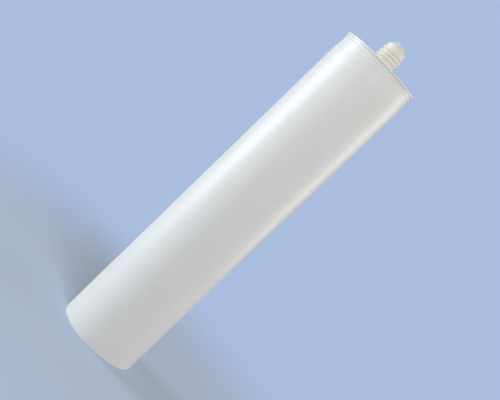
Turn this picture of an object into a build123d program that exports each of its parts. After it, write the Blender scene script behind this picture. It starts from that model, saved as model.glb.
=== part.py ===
from build123d import *
from math import atan, degrees
import os

# Sealant cartridge: a one-piece moulded barrel with a screw nipple, and the piston inside it.
# It stands on the open rear rim of the barrel. +Z runs up the axis to the nipple, and the
# origin is the centre of that rim. Lengths are in millimetres.

# Barrel wall
barrel_length = 216.0  # rear rim to front rim
barrel_diameter = 49.6  # outside, over the straight part
wall = 1.45
rear_edge_radius = 0.25  # rounding of the rear rim's outer edge
rear_lead_in = 0.5  # bevel that guides the piston into the bore

# Front rim: the wall narrows a little towards the head and ends in a thin raised lip
lip_diameter = 50.0
lip_height = 1.0
rim_edge_radius = 0.3
neck_inset = 0.45  # depth of the narrowing, on the radius
neck_height = 4.5  # length of the narrowest part, from the front rim down
neck_run_out = 9.0  # length over which the wall widens again
witness_height = 3.0  # groove where the mould's head insert meets the cavity, below the rim
witness_width = 0.5
witness_depth = 0.22

# Head plate, sunk inside the rim and coned up to the nipple
recess_depth = 3.0
recess_corner_radius = 0.6
rim_wall = 1.5
head_thickness = 2.0
head_rise = 1.6  # height of the cone from the bore's wall to the nipple's foot

# Nipple: a tapered hollow stem whose tip is moulded shut and cut off before use
nipple_foot_radius = 6.4
nipple_shoulder_radius = 5.95
nipple_tip_radius = 2.5
nipple_shoulder_height = 12.2  # above the front rim
nipple_tip_height = 15.2  # above the front rim
nipple_wall = 1.2
nipple_tip_thickness = 1.0
nipple_foot_fillet = 0.7
nipple_edge_radius = 0.35

# Nozzle thread: one right-hand ridge with a rounded crest
thread_pitch = 2.3
thread_turns = 4.15
thread_start_height = 0.45  # middle of the ridge at its lower end, above the front rim
thread_depth = 0.75
thread_foot_width = 1.95
thread_crest_width = 0.75
thread_sink = 0.12  # part of the ridge that lies inside the stem's wall

# Piston: a plunger with a sealing lip at each end of its skirt
piston_length = 18.0
piston_set_in = 12.0  # depth of its rear edge in a full barrel
piston_wall = 1.3
piston_face_thickness = 1.6
face_flat_radius = 4.0  # flat centre of the coned face
lip_clearance = 0.05  # running fit of a sealing lip in the bore, on the radius
skirt_clearance = 0.55
seal_height = 1.7
seal_land = 0.5  # height of the cylindrical edge of each lip
seal_edge_radius = 0.15
skirt_corner_radius = 0.8
hub_radius = 6.5
hub_wall = 1.2
rib_count = 8
rib_thickness = 1.1
rib_height = 7.5  # at the skirt
end_clearance = 0.3  # gap from the piston's face to the head at the end of its stroke

# Sizes that follow from those above
body_radius = barrel_diameter / 2
bore_radius = body_radius - wall
lip_radius = lip_diameter / 2
neck_radius = body_radius - neck_inset
recess_radius = neck_radius - rim_wall
recess_floor = barrel_length - recess_depth
head_underside = recess_floor - head_thickness
nipple_bore_radius = nipple_foot_radius - nipple_wall
head_slope = head_rise / (bore_radius - nipple_bore_radius)
nipple_foot = recess_floor + head_slope * (recess_radius - nipple_foot_radius)
nipple_shoulder = barrel_length + nipple_shoulder_height
nipple_tip = barrel_length + nipple_tip_height
nipple_slope = (nipple_foot_radius - nipple_shoulder_radius) / (nipple_shoulder - nipple_foot)
seal_radius = bore_radius - lip_clearance
skirt_radius = bore_radius - skirt_clearance
piston_front = piston_set_in + piston_length
full_stroke = head_underside - end_clearance - piston_front


def ring(part, radius, height):
    """The circular edges about the axis that have this radius and lie at this height."""
    circles = part.edges().filter_by(GeomType.CIRCLE)
    return circles.filter_by(
        lambda edge: abs(edge.radius - radius) < 1e-4 and abs(edge.arc_center.Z - height) < 1e-4
    )


def coned_height(height, radius):
    """Height of a cone parallel to the head, which has the given height at the bore's wall."""
    return height + head_slope * (bore_radius - radius)


with BuildPart() as barrel:
    # The whole wall is one closed section, turned about the axis.
    neck_top = barrel_length - lip_height
    neck_bottom = barrel_length - neck_height
    straight_top = neck_bottom - neck_run_out
    neck_middle = ((body_radius + neck_radius) / 2, neck_bottom - neck_run_out / 2)
    witness = barrel_length - witness_height
    nipple_bore_top = nipple_shoulder - nipple_wall / 2
    nipple_bore_end = nipple_tip - nipple_tip_thickness
    with BuildSketch(Plane.XZ):
        with BuildLine():
            Polyline(
                (bore_radius, rear_lead_in),
                (bore_radius + rear_lead_in, 0),
                (body_radius, 0),
                (body_radius, straight_top),
            )
            bend_in = TangentArc((body_radius, straight_top), neck_middle, tangent=(0, 1))
            TangentArc(neck_middle, (neck_radius, neck_bottom), tangent=bend_in % 1)
            Polyline(
                (neck_radius, neck_bottom),
                (neck_radius, witness - witness_width / 2),
                (neck_radius - witness_depth, witness),
                (neck_radius, witness + witness_width / 2),
                (neck_radius, neck_top),
                (lip_radius, neck_top),
                (lip_radius, barrel_length),
                (recess_radius, barrel_length),
                (recess_radius, recess_floor),
                (nipple_foot_radius, nipple_foot),
                (nipple_shoulder_radius, nipple_shoulder),
                (nipple_tip_radius, nipple_tip),
                (0, nipple_tip),
                (0, nipple_bore_end),
                (nipple_tip_radius - nipple_wall / 2, nipple_bore_end),
                (nipple_shoulder_radius - nipple_wall, nipple_bore_top),
                (nipple_bore_radius, head_underside + head_rise),
                (bore_radius, head_underside),
                (bore_radius, rear_lead_in),
            )
        make_face()
    revolve(axis=Axis.Z)
    fillet(ring(barrel, body_radius, 0), rear_edge_radius)
    fillet(ring(barrel, lip_radius, barrel_length), rim_edge_radius)
    fillet(ring(barrel, recess_radius, barrel_length), rim_edge_radius)
    fillet(ring(barrel, recess_radius, recess_floor), recess_corner_radius)
    fillet(ring(barrel, nipple_foot_radius, nipple_foot), nipple_foot_fillet)
    fillet(ring(barrel, nipple_shoulder_radius, nipple_shoulder), nipple_edge_radius)
    fillet(ring(barrel, nipple_tip_radius, nipple_tip), nipple_edge_radius)

    # The thread's ridge climbs the stem and narrows with it.
    thread_start = barrel_length + thread_start_height
    flank_slope = (thread_foot_width - thread_crest_width) / (2 * thread_depth)
    with BuildLine():
        thread_path = Helix(
            pitch=thread_pitch,
            height=thread_pitch * thread_turns,
            radius=nipple_foot_radius - nipple_slope * (thread_start - nipple_foot),
            center=(0, 0, thread_start),
            cone_angle=-degrees(atan(nipple_slope)),
        )
    with BuildSketch(Plane(origin=thread_path @ 0, x_dir=(1, 0, 0), z_dir=thread_path % 0)):
        with BuildLine():
            Polyline(
                (-thread_sink, -thread_foot_width / 2 - thread_sink * flank_slope),
                (thread_depth, -thread_crest_width / 2),
                (thread_depth, thread_crest_width / 2),
                (-thread_sink, thread_foot_width / 2 + thread_sink * flank_slope),
                close=True,
            )
        profile = make_face()
        fillet(profile.vertices().group_by(Axis.X)[-1], thread_crest_width / 3)
    sweep(path=thread_path, is_frenet=True)

with BuildPart() as piston:
    # The skirt, its lips and the coned face are one closed section, turned about the axis.
    face_rim = coned_height(piston_front, seal_radius)
    face_top = coned_height(piston_front, face_flat_radius)
    skirt_inner_radius = skirt_radius - piston_wall
    under_face = piston_front - piston_face_thickness
    with BuildSketch(Plane.XZ):
        with BuildLine():
            Polyline(
                (0, face_top),
                (face_flat_radius, face_top),
                (seal_radius, face_rim),
                (seal_radius, piston_front - seal_land),
                (skirt_radius, piston_front - seal_height),
                (skirt_radius, piston_set_in + seal_height),
                (seal_radius, piston_set_in + seal_land),
                (seal_radius, piston_set_in),
                (skirt_inner_radius, piston_set_in),
                (skirt_inner_radius, coned_height(under_face, skirt_inner_radius)),
                (face_flat_radius, coned_height(under_face, face_flat_radius)),
                (0, coned_height(under_face, face_flat_radius)),
                close=True,
            )
        make_face()
    revolve(axis=Axis.Z)
    fillet(ring(piston, seal_radius, face_rim), seal_edge_radius)
    fillet(ring(piston, seal_radius, piston_set_in), seal_edge_radius)
    under_skirt_corner = coned_height(under_face, skirt_inner_radius)
    fillet(ring(piston, skirt_inner_radius, under_skirt_corner), skirt_corner_radius)

    # A hub ring and radial ribs under the face carry the push of the gun's plate.
    rib_foot = under_face - rib_height
    hub_top = coned_height(under_face, hub_radius) + piston_face_thickness / 2
    with BuildSketch(Plane.XY.offset(rib_foot)):
        Circle(hub_radius)
        Circle(hub_radius - hub_wall, mode=Mode.SUBTRACT)
    extrude(amount=hub_top - rib_foot)
    rib_inner = hub_radius - hub_wall / 2
    rib_outer = skirt_inner_radius + piston_wall / 2
    rib_top = under_face + piston_face_thickness / 2
    with BuildSketch(Plane.XZ, mode=Mode.PRIVATE) as rib_side:
        with BuildLine():
            Polyline(
                (rib_inner, rib_foot),
                (rib_outer, rib_foot),
                (rib_outer, coned_height(rib_top, rib_outer)),
                (rib_inner, coned_height(rib_top, rib_inner)),
                close=True,
            )
        make_face()
    rib = extrude(rib_side.sketch, amount=rib_thickness / 2, both=True, mode=Mode.PRIVATE)
    with PolarLocations(0, rib_count):
        add(rib)

barrel.part.label = "barrel"
piston.part.label = "piston"

os.makedirs("parts", exist_ok=True)
export_step(barrel.part, "parts/barrel.step")
export_step(piston.part, "parts/piston.step")
print(f"piston stroke {full_stroke:.2f} mm forward, {piston_set_in:.2f} mm back")
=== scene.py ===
from math import cos, radians, sin

import bpy
from mathutils import Matrix, Vector


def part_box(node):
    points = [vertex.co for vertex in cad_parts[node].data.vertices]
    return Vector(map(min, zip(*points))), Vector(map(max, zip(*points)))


# A bare white sealant cartridge, standing on its open rear rim on a pale studio floor.
# Lengths are in metres. +Z runs up the tube's axis to the nipple, and the camera stands at -Y.

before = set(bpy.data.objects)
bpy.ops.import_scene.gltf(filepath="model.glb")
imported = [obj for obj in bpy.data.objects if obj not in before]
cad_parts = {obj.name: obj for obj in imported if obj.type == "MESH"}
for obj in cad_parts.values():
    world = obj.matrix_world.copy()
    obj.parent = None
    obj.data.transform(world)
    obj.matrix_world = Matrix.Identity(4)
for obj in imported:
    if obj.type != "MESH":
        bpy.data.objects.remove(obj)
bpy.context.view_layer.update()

MM = 0.001

# Height of the front rim: the barrel's top less its nipple.
NIPPLE_LENGTH = 15.2 * MM
FRONT_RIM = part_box("barrel")[1].z - NIPPLE_LENGTH

# Camera: level with the upper half of the tube, looking slightly down, and turned about its
# own line of sight so that the tube lies across the picture.
CAMERA_DISTANCE = 0.4881
CAMERA_HEIGHT = 0.1619
CAMERA_TILT = radians(5.508)
CAMERA_PAN = radians(0.419)
CAMERA_ROLL = radians(46.188)
LENS_MM = 64.25

# Colours as linear values.
BARREL_WHITE = (0.84, 0.83, 0.79)
PISTON_WHITE = (0.80, 0.79, 0.75)
BACKDROP_COLOUR = (0.40, 0.51, 0.74)
FLOOR_COLOUR = (0.50, 0.60, 0.80)

# Distances from the axis between which the floor turns into the backdrop colour.
FADE_START = 0.02
FADE_END = 0.30

# Colour spread of the plastic's broad patches, and the share of the draw marks in its relief.
DARKEST_PATCH = 0.975
LIGHTEST_PATCH = 1.02
DRAW_MARK_SHARE = 0.3

# All lamps are soft rectangles of one size, aimed at the middle of the tube.
LAMP_SIZE = (0.35, 0.40)


# ---------------------------------------------------------------- node helpers

def add_node(tree, kind, **settings):
    """A new node of this kind, with its own settings."""
    node = tree.nodes.new(kind)
    for name, value in settings.items():
        setattr(node, name, value)
    return node


def set_inputs(node, values):
    for name, value in values.items():
        node.inputs[name].default_value = value


def new_group(name, inputs, outputs):
    """A shader node group with named inputs (name, kind, default) and outputs (name, kind)."""
    group = bpy.data.node_groups.new(name, "ShaderNodeTree")
    for label, kind, default in inputs:
        socket = group.interface.new_socket(name=label, in_out="INPUT", socket_type=kind)
        if default is not None:
            socket.default_value = default
    for label, kind in outputs:
        group.interface.new_socket(name=label, in_out="OUTPUT", socket_type=kind)
    return group, add_node(group, "NodeGroupInput"), add_node(group, "NodeGroupOutput")


def math_node(tree, operation, first, second):
    """A Math node; each operand is a number or a socket."""
    node = add_node(tree, "ShaderNodeMath", operation=operation)
    for index, operand in enumerate((first, second)):
        if isinstance(operand, (int, float)):
            node.inputs[index].default_value = operand
        else:
            tree.links.new(operand, node.inputs[index])
    return node.outputs[0]


# ---------------------------------------------------------------- shared effects

def mould_grain_group():
    """The fine matt texture of a spark-eroded mould, and the broad waviness of a cooled wall."""
    group, given, result = new_group(
        "mould_grain",
        [("Vector", "NodeSocketVector", None), ("Grain Scale", "NodeSocketFloat", 2600.0),
         ("Wave Scale", "NodeSocketFloat", 55.0), ("Wave Share", "NodeSocketFloat", 0.5)],
        [("Height", "NodeSocketFloat"), ("Patches", "NodeSocketFloat")],
    )
    links = group.links
    grain = add_node(group, "ShaderNodeTexNoise")
    set_inputs(grain, {"Detail": 2.0, "Roughness": 0.55})
    links.new(given.outputs["Vector"], grain.inputs["Vector"])
    links.new(given.outputs["Grain Scale"], grain.inputs["Scale"])
    wave = add_node(group, "ShaderNodeTexNoise")
    set_inputs(wave, {"Detail": 1.0, "Roughness": 0.4})
    links.new(given.outputs["Vector"], wave.inputs["Vector"])
    links.new(given.outputs["Wave Scale"], wave.inputs["Scale"])
    wide = math_node(group, "MULTIPLY", wave.outputs["Fac"], given.outputs["Wave Share"])
    links.new(math_node(group, "ADD", grain.outputs["Fac"], wide), result.inputs["Height"])
    links.new(wave.outputs["Fac"], result.inputs["Patches"])
    return group


def draw_marks_group():
    """Faint lines along the axis, where the tube slid off its core and out of its cavity."""
    group, given, result = new_group(
        "draw_marks",
        [("Vector", "NodeSocketVector", None), ("Line Scale", "NodeSocketFloat", 900.0),
         ("Stretch", "NodeSocketFloat", 0.012)],
        [("Lines", "NodeSocketFloat")],
    )
    links = group.links
    split = add_node(group, "ShaderNodeSeparateXYZ")
    links.new(given.outputs["Vector"], split.inputs[0])
    drawn = add_node(group, "ShaderNodeCombineXYZ")
    links.new(split.outputs["X"], drawn.inputs["X"])
    links.new(split.outputs["Y"], drawn.inputs["Y"])
    links.new(math_node(group, "MULTIPLY", split.outputs["Z"], given.outputs["Stretch"]), drawn.inputs["Z"])
    noise = add_node(group, "ShaderNodeTexNoise")
    set_inputs(noise, {"Detail": 3.0, "Roughness": 0.6})
    links.new(drawn.outputs[0], noise.inputs["Vector"])
    links.new(given.outputs["Line Scale"], noise.inputs["Scale"])
    links.new(noise.outputs["Fac"], result.inputs["Lines"])
    return group


MOULD_GRAIN = mould_grain_group()
DRAW_MARKS = draw_marks_group()


# ---------------------------------------------------------------- materials

def new_material(name):
    material = bpy.data.materials.new(name)
    material.use_nodes = True
    tree = material.node_tree
    tree.nodes.clear()
    output = add_node(tree, "ShaderNodeOutputMaterial")
    return material, tree, output


def polyethylene(name, white, roughness, roughness_spread, grain_depth):
    """Moulded natural-white polyethylene: satin, slightly translucent, with a fine grain."""
    material, tree, output = new_material(name)
    links = tree.links
    shader = add_node(tree, "ShaderNodeBsdfPrincipled")
    set_inputs(shader, {
        "IOR": 1.52,
        "Subsurface Weight": 0.35,
        "Subsurface Radius": (1.0, 0.95, 0.85),
        "Subsurface Scale": 1.6 * MM,
    })
    links.new(shader.outputs[0], output.inputs["Surface"])
    place = add_node(tree, "ShaderNodeTexCoord").outputs["Object"]

    grain = add_node(tree, "ShaderNodeGroup", node_tree=MOULD_GRAIN)
    marks = add_node(tree, "ShaderNodeGroup", node_tree=DRAW_MARKS)
    links.new(place, grain.inputs["Vector"])
    links.new(place, marks.inputs["Vector"])

    colour = add_node(tree, "ShaderNodeMix", data_type="RGBA")
    colour.inputs["A"].default_value = (*[level * DARKEST_PATCH for level in white], 1.0)
    colour.inputs["B"].default_value = (*[min(1.0, level * LIGHTEST_PATCH) for level in white], 1.0)
    links.new(grain.outputs["Patches"], colour.inputs["Factor"])
    links.new(colour.outputs["Result"], shader.inputs["Base Color"])

    gloss = add_node(tree, "ShaderNodeMapRange")
    set_inputs(gloss, {
        "From Min": 0.3, "From Max": 0.7,
        "To Min": roughness - roughness_spread, "To Max": roughness + roughness_spread,
    })
    links.new(marks.outputs["Lines"], gloss.inputs["Value"])
    links.new(gloss.outputs["Result"], shader.inputs["Roughness"])

    bump = add_node(tree, "ShaderNodeBump")
    set_inputs(bump, {"Strength": 1.0, "Distance": grain_depth})
    relief = math_node(tree, "ADD", grain.outputs["Height"],
                       math_node(tree, "MULTIPLY", marks.outputs["Lines"], DRAW_MARK_SHARE))
    links.new(relief, bump.inputs["Height"])
    links.new(bump.outputs["Normal"], shader.inputs["Normal"])
    return material


def dress(node, material):
    """Gives a carried-over CAD piece its finish."""
    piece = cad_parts[node]
    piece.data.materials.clear()
    piece.data.materials.append(material)


dress("barrel", polyethylene("barrel_polyethylene", BARREL_WHITE, 0.42, 0.05, 0.012 * MM))
dress("piston", polyethylene("piston_polyethylene", PISTON_WHITE, 0.48, 0.05, 0.015 * MM))


# ---------------------------------------------------------------- studio

def floor_material():
    """Pale matt floor that keeps the tube's shadow and fades into the backdrop colour far out."""
    material, tree, output = new_material("floor_pale_blue")
    links = tree.links
    matt = add_node(tree, "ShaderNodeBsdfDiffuse")
    matt.inputs["Color"].default_value = (*FLOOR_COLOUR, 1.0)
    far = add_node(tree, "ShaderNodeEmission")
    far.inputs["Color"].default_value = (*BACKDROP_COLOUR, 1.0)
    place = add_node(tree, "ShaderNodeTexCoord").outputs["Object"]
    reach = add_node(tree, "ShaderNodeVectorMath", operation="LENGTH")
    links.new(place, reach.inputs[0])
    fade = add_node(tree, "ShaderNodeMapRange", interpolation_type="SMOOTHERSTEP")
    set_inputs(fade, {"From Min": FADE_START, "From Max": FADE_END})
    links.new(reach.outputs["Value"], fade.inputs["Value"])
    seen = add_node(tree, "ShaderNodeLightPath").outputs["Is Camera Ray"]
    share = math_node(tree, "MULTIPLY", fade.outputs["Result"], seen)
    mix = add_node(tree, "ShaderNodeMixShader")
    links.new(share, mix.inputs[0])
    links.new(matt.outputs[0], mix.inputs[1])
    links.new(far.outputs[0], mix.inputs[2])
    links.new(mix.outputs[0], output.inputs["Surface"])
    return material


def make_floor(radius=3.0):
    """A round floor at the height of the rear rim."""
    bpy.ops.mesh.primitive_circle_add(vertices=96, radius=radius, fill_type="NGON", location=(0, 0, 0))
    floor = bpy.context.object
    floor.name = "studio_floor"
    floor.data.materials.append(floor_material())


def make_world(ambient=(1.0, 0.88, 0.66), strength=0.34):
    """Dim even light all round; the camera sees the backdrop colour instead."""
    world = bpy.data.worlds.new("studio_world")
    bpy.context.scene.world = world
    world.use_nodes = True
    tree = world.node_tree
    tree.nodes.clear()
    links = tree.links
    output = add_node(tree, "ShaderNodeOutputWorld")
    light = add_node(tree, "ShaderNodeBackground")
    light.inputs["Color"].default_value = (*ambient, 1.0)
    light.inputs["Strength"].default_value = strength
    shown = add_node(tree, "ShaderNodeBackground")
    shown.inputs["Color"].default_value = (*BACKDROP_COLOUR, 1.0)
    seen = add_node(tree, "ShaderNodeLightPath").outputs["Is Camera Ray"]
    mix = add_node(tree, "ShaderNodeMixShader")
    links.new(seen, mix.inputs[0])
    links.new(light.outputs[0], mix.inputs[1])
    links.new(shown.outputs[0], mix.inputs[2])
    links.new(mix.outputs[0], output.inputs["Surface"])


def area_lamp(name, place, aim, power, colour):
    """A soft rectangular lamp at a place, turned towards a point."""
    data = bpy.data.lights.new(name, "AREA")
    data.shape = "RECTANGLE"
    data.size, data.size_y = LAMP_SIZE
    data.energy = power
    data.color = colour
    lamp = bpy.data.objects.new(name, data)
    lamp.location = place
    lamp.rotation_euler = (Vector(aim) - Vector(place)).to_track_quat("-Z", "Y").to_euler()
    bpy.context.scene.collection.objects.link(lamp)


def make_lamps():
    """A cool soft key from the left, a weaker fill behind on the right, and a front lamp higher up."""
    middle = Vector((0, 0, 0.5 * FRONT_RIM))
    area_lamp("key", (-0.80, 0.0, 0.20), middle, 4.7, (0.84, 0.92, 1.0))
    area_lamp("fill", (0.725, 0.34, 0.20), middle, 1.75, (1.0, 1.0, 0.98))
    area_lamp("front", (0.18, -0.68, 0.61), middle, 3.2, (0.93, 0.95, 1.0))


def make_camera():
    """Looks slightly down at the tube, with the axis rolled into the picture's diagonal."""
    level = cos(CAMERA_TILT)
    ahead = Vector((sin(CAMERA_PAN) * level, cos(CAMERA_PAN) * level, -sin(CAMERA_TILT)))
    right = ahead.cross(Vector((0, 0, 1))).normalized()
    up = right.cross(ahead)
    rolled_right = cos(CAMERA_ROLL) * right + sin(CAMERA_ROLL) * up
    rolled_up = cos(CAMERA_ROLL) * up - sin(CAMERA_ROLL) * right
    data = bpy.data.cameras.new("camera")
    data.lens = LENS_MM
    data.clip_start = 0.01
    camera = bpy.data.objects.new("camera", data)
    camera.rotation_euler = Matrix((rolled_right, rolled_up, -ahead)).transposed().to_euler()
    camera.location = (0, -CAMERA_DISTANCE, CAMERA_HEIGHT)
    bpy.context.scene.collection.objects.link(camera)
    bpy.context.scene.camera = camera


make_floor()
make_world()
make_lamps()
make_camera()
bpy.context.scene.view_settings.view_transform = "Standard"
